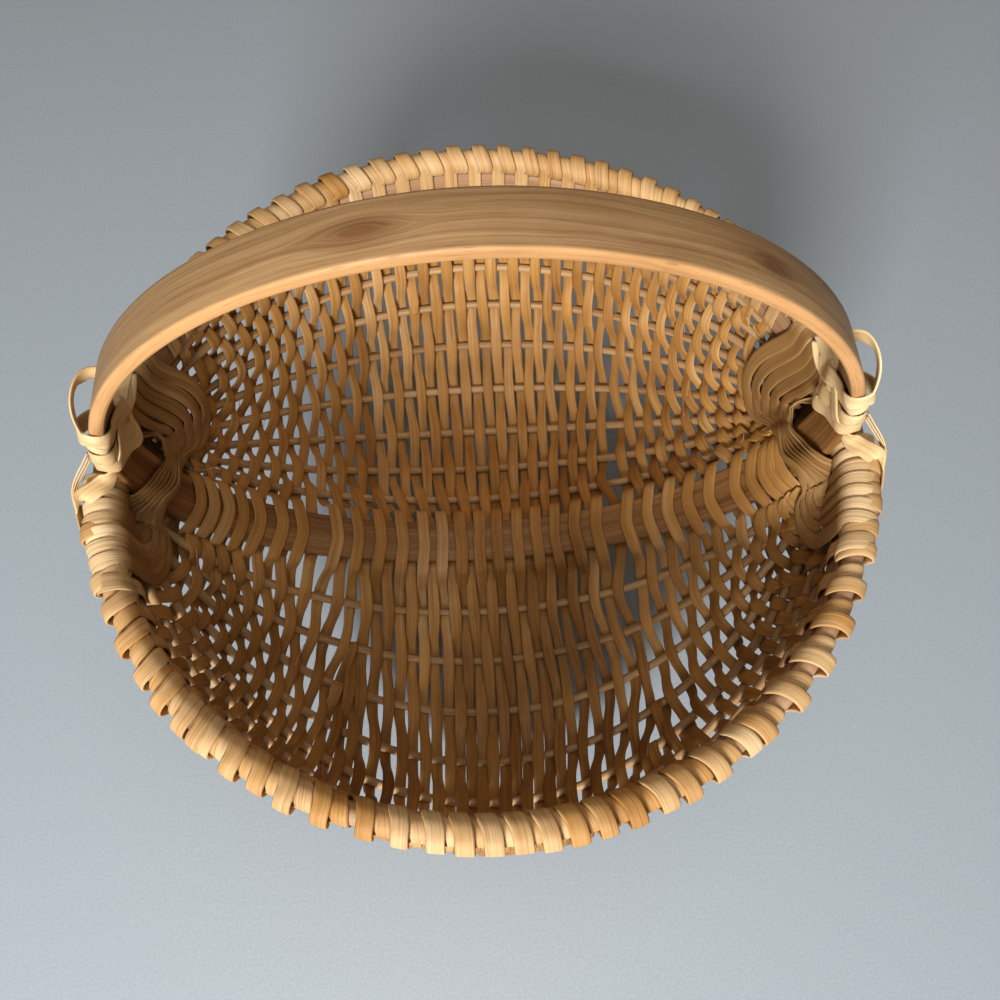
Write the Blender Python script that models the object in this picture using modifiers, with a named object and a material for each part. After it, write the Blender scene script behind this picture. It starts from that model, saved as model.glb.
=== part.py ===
"""A small buttocks basket: two round lobes either side of a bent hoop that is both handle and spine.

Units are metres, +Z is up. X runs from ear to ear, along the rim's width and under the handle.
Y runs from the near lobe to the far one. The basket stands on the floor at Z = 0, centred on Z.
"""

import math

import bmesh
import bpy
import numpy as np
from mathutils import Vector

# The bent hoop: its upper half is the handle and its lower half is the spine between the lobes
HOOP_HALF_WIDTH = 0.128
HANDLE_RISE = 0.112
SPINE_DROP = 0.109
HOOP_BAND = 0.019
HOOP_THICK = 0.0045
HOOP_EDGE_ROUND = 0.0012

# The rim: a flat bent band with a round rod along its top edge
RIM_HALF_DEPTH = 0.129
ROD_DIAMETER = 0.0065
ROD_TO_BAND = 0.0013
BAND_HEIGHT = 0.012
BAND_THICK = 0.004

# The ribs of one lobe, counted from the rim to the spine. The long ones start inside the ear, at
# this share of its opening, and the short ones start this far past it.
RIBS = 9
RIB_DIAMETER = 0.0037
RIB_TIP_DIAMETER = 0.0022
SHORT_RIB_START = 0.012
LONG_RIB_TUCK = 0.35

# How far the lobe's section swings out below the rim and hangs below the spine
LOBE_FLARE = 0.0295
LOBE_PULL = 0.186
CLEFT_FLARE = 0.013
CLEFT_PULL = 0.036

# The splint that is woven and lashed. At the rim it hangs this far down inside, and outside it falls
# clear of the band this far below the rod's middle.
SPLINT_THICK = 0.0012
SPLINT_WIDTH = 0.0055
SHINGLE_STEP = 0.0007
SHINGLE_SHOWN = 0.92
RIM_LIP = 0.0085
RIM_FALL = 0.01
RIM_FALL_OUT = 0.0023

# The lashing at each ear, the cross outside it, and the web of splint that fans over the ribs' ends
EAR_REACH = 0.0365
RIM_WRAPS = 5
SPINE_WRAPS = 5
CROSS_SPREAD = 0.0065
CROSS_DROP = 0.014
COLLAR_LAP = 0.0038
WEB_START = 0.15
WEB_SUNK = 0.0004

# A strap of the cross lies on the rod up to this share of the rod's radius above and below its middle
STRAP_TOUCH = 0.8

# Where the side weaving stops and the filler weaving starts, measured from the middle
FILLER_HALF_WIDTH = 0.056

# The weave's main relief: between two ribs every second station dips in this far. The side runs are
# woven more openly: every so many fields down the wall there is an opening, which leaves this share of
# the field as its edge.
WEAVE_DIP = 0.0034
OPENING_SPACING = 4
OPENING_EDGE = 0.27

# Clearance between neighbouring pieces, the depth of the flats that the lobes stand on, and the
# thickness of the block that cuts them
FIT = 0.0003
FLAT_DEPTH = 0.0006
CUTTER_DEPTH = 0.02

# How finely the round shapes are divided
HOOP_POINTS = 64
RIM_POINTS = 64
SIDE_COLUMNS = 8
FILLER_COLUMNS = 12
WEB_COLUMNS = 4
STRAP_ROWS = 12
PROFILE_SAMPLES = 400

# The step over which the wall's slope is measured, and the angle from which an edge is a sharp one
SLOPE_STEP = 0.004
SHARP_ANGLE = math.radians(35)

# Where the weave and an ear's wraps have their points round the rod, in degrees from straight out
ROD_TURNS = (180, 135, 90, 45, 0)
WRAP_TURNS = (-15, 22, 60, 98, 137, 180)

# The lip, the turns over the rod and the fall come before the wall's first field
FIRST_WALL_ROW = len(ROD_TURNS) + 2

# Sizes that follow from the ones above
ROD_RADIUS = ROD_DIAMETER / 2
RIB_RADIUS = RIB_DIAMETER / 2
HOOP_MID_X = HOOP_HALF_WIDTH - HOOP_THICK / 2
HANDLE_MID_Z = HANDLE_RISE - HOOP_THICK / 2
SPINE_MID_Z = SPINE_DROP - HOOP_THICK / 2
RIM_Y = RIM_HALF_DEPTH
CHORD_LOSS = RIM_Y * (1 - math.cos(math.pi / RIM_POINTS))
HOOP_CORNER = math.sqrt(1 - (HOOP_BAND / 2 / RIM_Y) ** 2)
RIM_X = (HOOP_HALF_WIDTH + FIT + ROD_RADIUS + CHORD_LOSS) / HOOP_CORNER
BAND_OUTER = BAND_THICK - ROD_RADIUS
BAND_BOTTOM = ROD_RADIUS + ROD_TO_BAND + BAND_HEIGHT
LASHED = FIT + SPLINT_THICK + SHINGLE_STEP
EAR_Y = HOOP_BAND / 2 + LASHED + FIT + RIB_RADIUS
EAR_Z = -(BAND_BOTTOM + LASHED + FIT + RIB_RADIUS)
START_SINE = -EAR_Z / SPINE_MID_Z
WALL_OFFSET = max(RIB_RADIUS, HOOP_THICK / 2) + FIT
COLLAR_BOTTOM = ROD_RADIUS + LASHED
STRAP_TOP = COLLAR_BOTTOM + COLLAR_LAP


def lerp(first, second, share):
    return first + (second - first) * share


# The lobe's section in the middle of the basket, from the rim (0) to the edge of the spine (1)
SECTION_ENDS = (
    (RIM_Y, 0.0),
    (RIM_Y + LOBE_FLARE, -LOBE_PULL),
    (EAR_Y + CLEFT_FLARE, -SPINE_MID_Z - CLEFT_PULL),
    (EAR_Y, -SPINE_MID_Z),
)


def section_points():
    """Points along the section, and the share of its length at each."""
    t = np.linspace(0.0, 1.0, PROFILE_SAMPLES)[:, None]
    a, b, c, d = (np.array(end) for end in SECTION_ENDS)
    points = (1 - t) ** 3 * a + 3 * (1 - t) ** 2 * t * b + 3 * (1 - t) * t**2 * c + t**3 * d
    steps = np.hypot(*np.diff(points, axis=0).T)
    length = np.concatenate([[0.0], np.cumsum(steps)])
    return points, length / length[-1], length[-1]


SECTION, SECTION_SHARE, SECTION_LENGTH = section_points()


def section_at(share):
    y = np.interp(share, SECTION_SHARE, SECTION[:, 0])
    z = np.interp(share, SECTION_SHARE, SECTION[:, 1])
    return float(y), float(z)


def swell(angle):
    """How far a rib has opened from the ear (0) towards the middle of the basket (1)."""
    return (math.sin(angle) - START_SINE) / (1 - START_SINE)


def angle_of(opening):
    return math.asin(START_SINE + opening * (1 - START_SINE))


def rim_x_at(y):
    return RIM_X * math.sqrt(max(0.0, 1 - (y / RIM_Y) ** 2))


# The rim meridian reaches out so that halfway to the middle it lies right under the rim
HALF_OPEN_Y = lerp(EAR_Y, RIM_Y, 0.5)
RIM_REACH = rim_x_at(HALF_OPEN_Y) / math.cos(angle_of(0.5))


def wall_point(side, share, angle):
    """A point of the surface that the ribs lie in. Side is 1 for the far lobe and -1 for the near one."""
    y, z = section_at(share)
    opening = swell(angle)
    reach = lerp(RIM_REACH, HOOP_MID_X, share)
    return Vector(
        (
            -reach * math.cos(angle),
            side * lerp(EAR_Y, y, opening),
            lerp(EAR_Z, z, opening),
        )
    )


def wall_normal(side, share, angle):
    low, high = max(0.0, share - SLOPE_STEP), min(1.0, share + SLOPE_STEP)
    across = wall_point(side, high, angle) - wall_point(side, low, angle)
    along = wall_point(side, share, angle + SLOPE_STEP) - wall_point(side, share, angle - SLOPE_STEP)
    return along.cross(across).normalized() * side


def wall_offset(side, share, angle, distance):
    return wall_point(side, share, angle) + wall_normal(side, share, angle) * distance


# The lowest point of the woven lobes sets how high the rim stands
LOWEST = min(section_at(share)[1] for share in SECTION_SHARE)
RIM_Z = -(LOWEST - WALL_OFFSET - SPLINT_THICK) - FLAT_DEPTH
EAR_OPENING = (EAR_REACH - EAR_Y) / (RIM_Y - EAR_Y)
EAR_ANGLE = angle_of(EAR_OPENING)
FILLER_ANGLE = math.acos(FILLER_HALF_WIDTH / HOOP_MID_X)

# The ribs have their points at every second angle of the wall, so that they keep their distance
LEFT_ANGLES = np.linspace(EAR_ANGLE, FILLER_ANGLE, SIDE_COLUMNS + 1)
FILLER_ANGLES = np.linspace(FILLER_ANGLE, math.pi - FILLER_ANGLE, FILLER_COLUMNS + 1)
RIGHT_ANGLES = math.pi - LEFT_ANGLES[::-1]
RIB_ANGLES = (*LEFT_ANGLES[::2], *FILLER_ANGLES[2:-1:2], *RIGHT_ANGLES[::2])
RIB_SHARES = [number / (RIBS + 1) for number in range(1, RIBS + 1)]
WALL_CHORD_LOSS = HOOP_MID_X * (1 - math.cos((LEFT_ANGLES[1] - LEFT_ANGLES[0]) / 2))


def clear_scene():
    for obj in list(bpy.data.objects):
        bpy.data.objects.remove(obj, do_unlink=True)


def new_collection(name):
    collection = bpy.data.collections.new(name)
    bpy.context.scene.collection.children.link(collection)
    return collection


def wood(name, colour, roughness):
    material = bpy.data.materials.new(name)
    material.use_nodes = True
    shader = material.node_tree.nodes["Principled BSDF"]
    shader.inputs["Base Color"].default_value = (*colour, 1.0)
    shader.inputs["Roughness"].default_value = roughness
    shader.inputs["Metallic"].default_value = 0.0
    return material


def place(obj, collection, material):
    """Links the object, lifts it from the rim's frame to the floor's, and gives it its material."""
    collection.objects.link(obj)
    obj.location.z = RIM_Z
    obj.data.materials.append(material)
    return obj


def mesh_from(name, points, faces):
    mesh = bpy.data.meshes.new(name)
    mesh.from_pydata([tuple(point) for point in points], [], faces)
    made = bmesh.new()
    made.from_mesh(mesh)
    bmesh.ops.recalc_face_normals(made, faces=made.faces)
    made.to_mesh(mesh)
    made.free()
    mesh.shade_smooth()
    mesh.set_sharp_from_angle(angle=SHARP_ANGLE)
    return mesh


def ellipse(half_x, half_y, count):
    """Points of an ellipse, as pairs."""
    turns = (2 * math.pi * i / count for i in range(count))
    return [(half_x * math.cos(turn), half_y * math.sin(turn)) for turn in turns]


def ring_curve(name, outlines, half_height, edge_round):
    """A flat ring: filled outlines, thickened either way and rounded at the edges."""
    curve = bpy.data.curves.new(name, "CURVE")
    curve.dimensions = "2D"
    curve.fill_mode = "BOTH"
    curve.extrude = half_height - edge_round
    curve.bevel_depth = edge_round
    curve.bevel_resolution = 0
    curve.offset = -edge_round
    for outline in outlines:
        spline = curve.splines.new("POLY")
        spline.points.add(len(outline) - 1)
        for point, (x, y) in zip(spline.points, outline):
            point.co = (x, y, 0.0, 1.0)
        spline.use_cyclic_u = True
    return curve


def hoop_outline(inset):
    """The hoop's outline in X and Z, taller above the rim than below it."""
    upper = (HOOP_HALF_WIDTH - inset, HANDLE_RISE - inset)
    lower = (HOOP_HALF_WIDTH - inset, SPINE_DROP - inset)
    points = []
    for i in range(HOOP_POINTS):
        turn = 2 * math.pi * i / HOOP_POINTS
        half_x, half_z = upper if math.sin(turn) >= 0 else lower
        points.append((half_x * math.cos(turn), half_z * math.sin(turn)))
    return points


def make_hoop(collection, material):
    """One bent band, handle above and spine below, standing in the XZ plane."""
    outlines = [hoop_outline(0.0), hoop_outline(HOOP_THICK)]
    curve = ring_curve("handle_hoop", outlines, HOOP_BAND / 2, HOOP_EDGE_ROUND)
    hoop = place(bpy.data.objects.new("handle_hoop", curve), collection, material)
    hoop.rotation_euler.x = math.pi / 2


def make_rim(collection, material):
    """The flat rim band, and the rod that lies along its top edge. Both pass outside the hoop."""
    outlines = [
        ellipse(RIM_X + BAND_OUTER, RIM_Y + BAND_OUTER, RIM_POINTS),
        ellipse(RIM_X - ROD_RADIUS, RIM_Y - ROD_RADIUS, RIM_POINTS),
    ]
    curve = ring_curve("rim_band", outlines, BAND_HEIGHT / 2, HOOP_EDGE_ROUND / 2)
    band = place(bpy.data.objects.new("rim_band", curve), collection, material)
    band.location.z = RIM_Z - BAND_BOTTOM + BAND_HEIGHT / 2

    rod = bpy.data.curves.new("rim_rod", "CURVE")
    rod.dimensions = "3D"
    rod.bevel_depth = ROD_RADIUS
    rod.bevel_resolution = 2
    spline = rod.splines.new("POLY")
    points = ellipse(RIM_X, RIM_Y, RIM_POINTS)
    spline.points.add(len(points) - 1)
    for point, (x, y) in zip(spline.points, points):
        point.co = (x, y, 0.0, 1.0)
    spline.use_cyclic_u = True
    place(bpy.data.objects.new("rim_rod", rod), collection, material)


def rib_angles(number):
    """The angles that a rib's points lie at. Every second rib starts past the ear's lashing."""
    start = angle_of(EAR_OPENING * LONG_RIB_TUCK)
    if number % 2 == 0:
        start = EAR_ANGLE + SHORT_RIB_START / HOOP_MID_X
    angles = [start]
    for angle in RIB_ANGLES:
        if start < angle < math.pi - start:
            angles.append(angle)
    return [*angles, math.pi - start]


def make_ribs(collection, material):
    """Round ribs that fan from ear to ear, whittled to a point where they are tucked in."""
    for lobe, side in (("near", -1), ("far", 1)):
        for number, share in enumerate(RIB_SHARES, start=1):
            name = f"rib_{lobe}_{number}"
            curve = bpy.data.curves.new(name, "CURVE")
            curve.dimensions = "3D"
            curve.bevel_depth = RIB_RADIUS
            curve.bevel_resolution = 2
            curve.use_fill_caps = True
            angles = rib_angles(number)
            spline = curve.splines.new("POLY")
            spline.points.add(len(angles) - 1)
            for point, angle in zip(spline.points, angles):
                point.co = (*wall_point(side, share, angle), 1.0)
            for end in (spline.points[0], spline.points[-1]):
                end.radius = RIB_TIP_DIAMETER / RIB_DIAMETER
            place(bpy.data.objects.new(name, curve), collection, material)


def rim_station(side, angle):
    """The rod's centre and outward direction, level with the wall at this angle."""
    y = lerp(EAR_Y, RIM_Y, swell(angle))
    y = min(y, RIM_Y)
    x = -math.copysign(rim_x_at(y), math.cos(angle))
    outward = Vector((x / RIM_X**2, side * y / RIM_Y**2, 0.0)).normalized()
    return Vector((x, side * y, 0.0)), outward


def round_the_rod(distance, turns):
    """Points round the rod's section, as outward and upward pairs, from turns in degrees."""
    radius = ROD_RADIUS + distance
    return [
        (radius * math.cos(math.radians(turn)), radius * math.sin(math.radians(turn)))
        for turn in turns
    ]


def rim_section(side, angle, distance, lip):
    """The woven edge's path: up the band's inner face, over the rod and down outside."""
    centre, outward = rim_station(side, angle)
    inner = -(ROD_RADIUS + distance)
    pairs = [(inner, -lip)]
    pairs += round_the_rod(distance, ROD_TURNS)
    pairs.append((RIM_FALL_OUT + distance, -RIM_FALL))
    return [centre + outward * p + Vector((0.0, 0.0, q)) for p, q in pairs]


def hoop_point(angle, y, distance, half_z=-SPINE_MID_Z):
    """A point this far out from the middle of the hoop's thickness, on the spine unless told."""
    out = Vector((-math.cos(angle) / HOOP_MID_X, 0.0, math.sin(angle) / half_z)).normalized()
    centre = Vector((-HOOP_MID_X * math.cos(angle), y, half_z * math.sin(angle)))
    return centre + out * distance


def wall_column(angle, parity):
    """One row of the weaving, from lip to lip, just outside the ribs and the spine. Between every
    second pair of ribs it dips in, as a splint does that passes inside the next rib."""
    dip = WEAVE_DIP * swell(angle)
    halves = []
    for side in (1, -1):
        points = rim_section(side, angle, FIT + WALL_CHORD_LOSS, RIM_LIP)
        for number, share in enumerate(RIB_SHARES, start=1):
            points.append(wall_offset(side, share, angle, WALL_OFFSET))
            if number < RIBS:
                depth = dip if number % 2 == parity else 0.0
                between = share + 0.5 / (RIBS + 1)
                points.append(wall_offset(side, between, angle, WALL_OFFSET - depth))
        points.append(hoop_point(angle, side * HOOP_BAND / 2, WALL_OFFSET + WALL_CHORD_LOSS))
        halves.append(points)
    return halves[0] + halves[1][::-1]


def grid_faces(columns, rows):
    faces = []
    for i in range(columns - 1):
        for j in range(rows - 1):
            first = i * rows + j
            faces.append((first, first + rows, first + rows + 1, first + 1))
    return faces


def thicken(obj, thickness):
    """Solidifies away from the basket's inside."""
    modifier = obj.modifiers.new("thickness", "SOLIDIFY")
    modifier.thickness = thickness
    modifier.offset = 1.0
    modifier.use_even_offset = True
    return modifier


def open_grid(name, columns):
    """An open surface through the columns, its faces looking away from the basket's inside."""
    points = [point for column in columns for point in column]
    mesh = bpy.data.meshes.new(name)
    faces = grid_faces(len(columns), len(columns[0]))
    mesh.from_pydata([tuple(point) for point in points], [], faces)
    mesh.shade_smooth()
    return mesh


def open_weave(mesh, rows):
    """Opens a grid of small fields beside the ribs, where the weave of a side run lets light through."""
    made = bmesh.new()
    made.from_mesh(mesh)
    made.faces.ensure_lookup_table()
    open_rows = range(0, 2 * RIBS - 2, OPENING_SPACING)
    fields = []
    for index, face in enumerate(made.faces):
        column, row = divmod(index, rows - 1)
        from_lip = min(row, rows - 2 - row) - FIRST_WALL_ROW
        if column % 2 == 1 and from_lip in open_rows:
            fields.append(face)
    for face in fields:
        shortest = min(edge.calc_length() for edge in face.edges)
        bmesh.ops.inset_individual(made, faces=[face], thickness=OPENING_EDGE * shortest)
    bmesh.ops.delete(made, geom=fields, context="FACES")
    made.to_mesh(mesh)
    made.free()


def make_weaving(collection, cutters, material):
    """The woven wall in its three runs: one from each ear, and the filler between them."""
    gap = FIT / HOOP_MID_X
    runs = (
        ("weaving_left", LEFT_ANGLES),
        ("weaving_filler", FILLER_ANGLES),
        ("weaving_right", RIGHT_ANGLES),
    )
    for name, angles in runs:
        angles = [angles[0] + gap, *angles[1:-1], angles[-1] - gap]
        columns = [wall_column(angle, index % 2) for index, angle in enumerate(angles)]
        mesh = open_grid(name, columns)
        if name != "weaving_filler":
            open_weave(mesh, len(columns[0]))
        obj = bpy.data.objects.new(name, mesh)
        place(obj, collection, material)
        thicken(obj, SPLINT_THICK)
    cut_feet(bpy.data.objects["weaving_filler"], cutters)


def cut_feet(obj, cutters):
    """Cuts the lobes flat at the floor, where the basket stands."""
    bpy.ops.mesh.primitive_cube_add(size=1.0)
    floor = bpy.context.object
    floor.name = "floor_cutter"
    floor.scale = (2 * RIM_X, 2 * RIM_Y, CUTTER_DEPTH)
    floor.location = (0.0, 0.0, -CUTTER_DEPTH / 2)
    for owner in list(floor.users_collection):
        owner.objects.unlink(floor)
    cutters.objects.link(floor)
    floor.hide_render = True
    floor.display_type = "WIRE"
    cut = obj.modifiers.new("feet", "BOOLEAN")
    cut.operation = "DIFFERENCE"
    cut.object = floor


def sleeve(name, outlines):
    """A tube from pairs of closed outlines, the bore's and the outside's, one pair a station."""
    sides = len(outlines[0][0])
    points = []
    faces = []
    for bore, outside in outlines:
        points += bore
        points += outside
    for i in range(len(outlines) - 1):
        near, far = i * 2 * sides, (i + 1) * 2 * sides
        for layer in (0, sides):
            for j in range(sides):
                k = (j + 1) % sides
                faces.append((near + layer + j, near + layer + k, far + layer + k, far + layer + j))
    for station in (0, len(outlines) - 1):
        base = station * 2 * sides
        for j in range(sides):
            k = (j + 1) % sides
            faces.append((base + j, base + k, base + sides + k, base + sides + j))
    return mesh_from(name, points, faces)


def shingle_stations(start, end, wraps):
    """Places along a lashing with the thickness there: each wrap lies over the one before."""
    stations = []
    for i in range(wraps):
        stations.append((lerp(start, end, i / wraps), SPLINT_THICK))
        stations.append((lerp(start, end, (i + SHINGLE_SHOWN) / wraps), SPLINT_THICK + SHINGLE_STEP))
    return stations


def rim_outline(side, y, distance):
    """A closed outline round the rod and the band, at this place along the rim."""
    x = -rim_x_at(y)
    centre = Vector((x, side * y, 0.0))
    outward = Vector((x / RIM_X**2, side * y / RIM_Y**2, 0.0)).normalized()
    pairs = round_the_rod(distance, WRAP_TURNS)
    bottom = -(BAND_BOTTOM + distance)
    pairs.append((-(ROD_RADIUS + distance), bottom))
    pairs.append((BAND_OUTER + distance, bottom))
    return [centre + outward * p + Vector((0.0, 0.0, q)) for p, q in pairs]


def hoop_outline_at(angle, distance, half_z=-SPINE_MID_Z):
    """A closed outline round the hoop's band, at this angle below the rim or above it."""
    half = HOOP_BAND / 2 + distance
    deep = HOOP_THICK / 2 + distance
    corner = HOOP_EDGE_ROUND
    points = []
    for y, out in (
        (half, deep - corner),
        (half - corner, deep),
        (-half + corner, deep),
        (-half, deep - corner),
        (-half, -deep + corner),
        (-half + corner, -deep),
        (half - corner, -deep),
        (half, -deep + corner),
    ):
        points.append(hoop_point(angle, y, out, half_z))
    return points


def rim_arm(side):
    """The ear's wraps round the rim, on one side of the hoop."""
    start = HOOP_BAND / 2 + FIT + HOOP_EDGE_ROUND
    outlines = []
    for y, thickness in shingle_stations(start, EAR_REACH - FIT, RIM_WRAPS):
        outlines.append((rim_outline(side, y, FIT), rim_outline(side, y, FIT + thickness)))
    return sleeve("rim_arm", outlines)


def spine_arm():
    """The ear's wraps round the spine, nested below the rim."""
    start = math.asin((BAND_BOTTOM + 2 * FIT) / SPINE_MID_Z)
    outlines = []
    for angle, thickness in shingle_stations(start, EAR_ANGLE, SPINE_WRAPS):
        bore = hoop_outline_at(angle, FIT)
        outlines.append((bore, hoop_outline_at(angle, FIT + thickness)))
    return sleeve("spine_arm", outlines)


def ear_web():
    """The splint that fans outside the ribs' ends, from the rim's wraps to the spine's."""
    columns = []
    for opening in np.linspace(EAR_OPENING * WEB_START, EAR_OPENING, WEB_COLUMNS + 1):
        angle = angle_of(float(opening))
        halves = []
        for side in (1, -1):
            centre, outward = rim_station(side, angle)
            tuck = outward * (BAND_OUTER + FIT) - Vector((0.0, 0.0, BAND_BOTTOM + FIT))
            points = [centre + tuck]
            points += [wall_offset(side, share, angle, WALL_OFFSET) for share in RIB_SHARES[::2]]
            points.append(hoop_point(angle, side * HOOP_BAND / 2, WALL_OFFSET + WEB_SUNK))
            halves.append(points)
        columns.append(halves[0] + halves[1][::-1])
    return open_grid("ear_web", columns)


def join(obj, other):
    """Unites the other object with this one, and removes the other."""
    union = obj.modifiers.new("join", "BOOLEAN")
    union.operation = "UNION"
    union.object = other
    bake(obj)
    bpy.data.objects.remove(other, do_unlink=True)


def bake(obj):
    """Applies the object's modifiers to its mesh."""
    bpy.context.view_layer.update()
    graph = bpy.context.evaluated_depsgraph_get()
    mesh = bpy.data.meshes.new_from_object(obj.evaluated_get(graph))
    obj.modifiers.clear()
    obj.data = mesh


def mirrored(obj, name, collection, material):
    """A copy on the other side of the basket."""
    mesh = obj.data.copy()
    mesh.name = name
    for vertex in mesh.vertices:
        vertex.co.x = -vertex.co.x
    mesh.flip_normals()
    mesh.materials.clear()
    return place(bpy.data.objects.new(name, mesh), collection, material)


def make_ears(collection, material):
    """The three-pointed lashing at each ear, round both sides of the rim and the spine."""
    ear = place(bpy.data.objects.new("ear_left", rim_arm(1)), collection, material)
    for mesh in (rim_arm(-1), spine_arm()):
        join(ear, place(bpy.data.objects.new(mesh.name, mesh), collection, material))
    web = place(bpy.data.objects.new("ear_web", ear_web()), collection, material)
    thicken(web, SPLINT_THICK)
    bake(web)
    join(ear, web)
    mirrored(ear, "ear_right", collection, material)


def strap_x(z):
    """How far out a strap lies that is drawn over the collar, the rod and the band."""
    reach = ROD_RADIUS + FIT
    turn = reach * STRAP_TOUCH
    if abs(z) < turn:
        return RIM_X + math.sqrt(reach**2 - z**2)
    edge = RIM_X + math.sqrt(reach**2 - turn**2)
    if z < 0:
        return lerp(edge, RIM_X + BAND_OUTER + FIT, (-z - turn) / (CROSS_DROP - turn))
    handle = HOOP_HALF_WIDTH * math.sqrt(1 - (STRAP_TOP / HANDLE_RISE) ** 2)
    return lerp(edge, handle + FIT + SPLINT_THICK / 2, (z - turn) / (STRAP_TOP - turn))


def cross_strap(lean):
    """One strap of the cross over the outside of the handle, rim and spine."""
    crossing = (STRAP_TOP - CROSS_DROP) / 2
    half = SPLINT_WIDTH / 2
    columns = []
    for z in np.linspace(-CROSS_DROP, STRAP_TOP, STRAP_ROWS):
        y = lean * CROSS_SPREAD * (z - crossing) / (STRAP_TOP - crossing)
        columns.append([Vector((-strap_x(z), y + w, z)) for w in (-half, half)])
    return open_grid("strap", columns)


def collar():
    """The strap round the handle, just above the rim."""
    outlines = []
    for z in (COLLAR_BOTTOM, COLLAR_BOTTOM + SPLINT_WIDTH):
        angle = math.asin(z / HANDLE_MID_Z)
        bore = hoop_outline_at(angle, FIT, HANDLE_MID_Z)
        outlines.append((bore, hoop_outline_at(angle, FIT + SPLINT_THICK, HANDLE_MID_Z)))
    return sleeve("collar", outlines)


def make_cross_lashings(collection, material):
    """A collar round the handle, with two straps from it that cross outside the rim."""
    lashing = place(bpy.data.objects.new("cross_lashing_left", collar()), collection, material)
    for lean in (-1, 1):
        strap = place(bpy.data.objects.new("strap", cross_strap(lean)), collection, material)
        thicken(strap, SPLINT_THICK)
        bake(strap)
        join(lashing, strap)
    mirrored(lashing, "cross_lashing_right", collection, material)


def main():
    clear_scene()
    basket = new_collection("buttocks_basket")
    cutters = new_collection("cutters")
    hoop_wood = wood("hoop_wood", (0.38, 0.24, 0.12), 0.55)
    rim_wood = wood("rim_wood", (0.42, 0.26, 0.15), 0.6)
    rib_wood = wood("rib_wood", (0.55, 0.38, 0.2), 0.6)
    splint = wood("splint", (0.52, 0.34, 0.15), 0.65)
    lashing = wood("lashing_splint", (0.72, 0.52, 0.27), 0.6)
    make_hoop(basket, hoop_wood)
    make_rim(basket, rim_wood)
    make_ribs(basket, rib_wood)
    make_weaving(basket, cutters, splint)
    make_ears(basket, lashing)
    make_cross_lashings(basket, lashing)


main()
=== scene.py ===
"""Looks of the small buttocks basket: its bent hoop, rim, ribs, plain weave, ears and cross lashings.

Everything is in metres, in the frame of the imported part. X runs from ear to ear, Y from the near
lobe to the far one, and Z is up from the floor. Heights count from the rim rod's middle until a mesh
is built.
"""

import math

import bpy
import numpy as np
from mathutils import Matrix, Vector


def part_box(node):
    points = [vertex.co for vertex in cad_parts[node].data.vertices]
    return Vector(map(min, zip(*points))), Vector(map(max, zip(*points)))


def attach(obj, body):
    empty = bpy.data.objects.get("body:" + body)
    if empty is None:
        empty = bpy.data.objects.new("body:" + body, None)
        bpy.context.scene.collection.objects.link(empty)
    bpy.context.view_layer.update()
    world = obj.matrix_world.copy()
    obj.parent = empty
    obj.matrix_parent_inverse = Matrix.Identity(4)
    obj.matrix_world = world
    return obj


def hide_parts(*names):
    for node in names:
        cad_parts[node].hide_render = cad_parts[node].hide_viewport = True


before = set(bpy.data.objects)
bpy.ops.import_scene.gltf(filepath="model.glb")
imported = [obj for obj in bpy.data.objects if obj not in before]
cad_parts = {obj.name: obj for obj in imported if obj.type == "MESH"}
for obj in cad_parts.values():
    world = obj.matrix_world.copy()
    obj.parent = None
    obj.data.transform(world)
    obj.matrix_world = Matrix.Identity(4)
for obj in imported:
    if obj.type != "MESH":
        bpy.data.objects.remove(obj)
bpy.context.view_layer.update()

# Sizes of the part that the woven pieces follow
HOOP_HALF_WIDTH = 0.128
HANDLE_RISE = 0.112
SPINE_DROP = 0.109
HOOP_BAND = 0.019
HOOP_THICK = 0.0045
ROD_RADIUS = 0.00325
RIM_Y = 0.129
RIM_X = 0.13206
BAND_OUTER = 0.00075
BAND_INNER = -0.00325
BAND_TOP = -0.00455
BAND_BOTTOM = -0.01655
RIB_RADIUS = 0.00185
RIBS = 9
EAR_Y = 0.01355
EAR_Z = -0.0209
EAR_REACH = 0.0365
SHORT_RIB_START = 0.012
SECTION_ENDS = ((0.129, 0.0), (0.1585, -0.186), (0.02655, -0.14275), (EAR_Y, -0.10675))

HOOP_MID_X = HOOP_HALF_WIDTH - HOOP_THICK / 2
HANDLE_MID_Z = HANDLE_RISE - HOOP_THICK / 2
SPINE_MID_Z = SPINE_DROP - HOOP_THICK / 2
START_SINE = -EAR_Z / SPINE_MID_Z
rod_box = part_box("rim_rod")
RIM_Z = (rod_box[0][2] + rod_box[1][2]) / 2

# The weave: rows of the run at the left ear, of the filler, and of the run at the right ear
LEFT_ROWS = 14
FILLER_ROWS = 28
RIGHT_ROWS = 20
ROWS = LEFT_ROWS + FILLER_ROWS + RIGHT_ROWS
SPLINT_WIDTH = 0.0056
SPLINT_THICK = 0.0009

# Where chosen rows run, as shares of the way from the left ear to the right one. Each line gives a row
# and its place on the rim and at these shares of the wall's section, from the rim down to the spine.
FAR_LEVELS = (0.0, 0.35, 0.7, 0.9)
FAR_ROWS = (
    (0, 0.056, 0.026, -0.015, -0.01), (4, 0.115, 0.096, 0.04, 0.045),
    (8, 0.17, 0.162, 0.117, 0.117), (13, 0.245, 0.2285, 0.21, 0.212),
    (14, 0.262, 0.245, 0.235, 0.238), (30, 0.51, 0.515, 0.52, 0.52), (41, 0.675, 0.69, 0.7, 0.7),
    (42, 0.69, 0.705, 0.73, 0.738), (48, 0.78, 0.79, 0.833, 0.842), (52, 0.83, 0.8515, 0.9, 0.93),
    (56, 0.889, 0.915, 0.964, 0.994), (60, 0.9427, 0.972, 1.015, 1.025),
    (62, 0.965, 0.995, 1.03, 1.037),
)
NEAR_LEVELS = (0.0, 0.5, 0.7, 0.9)
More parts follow.
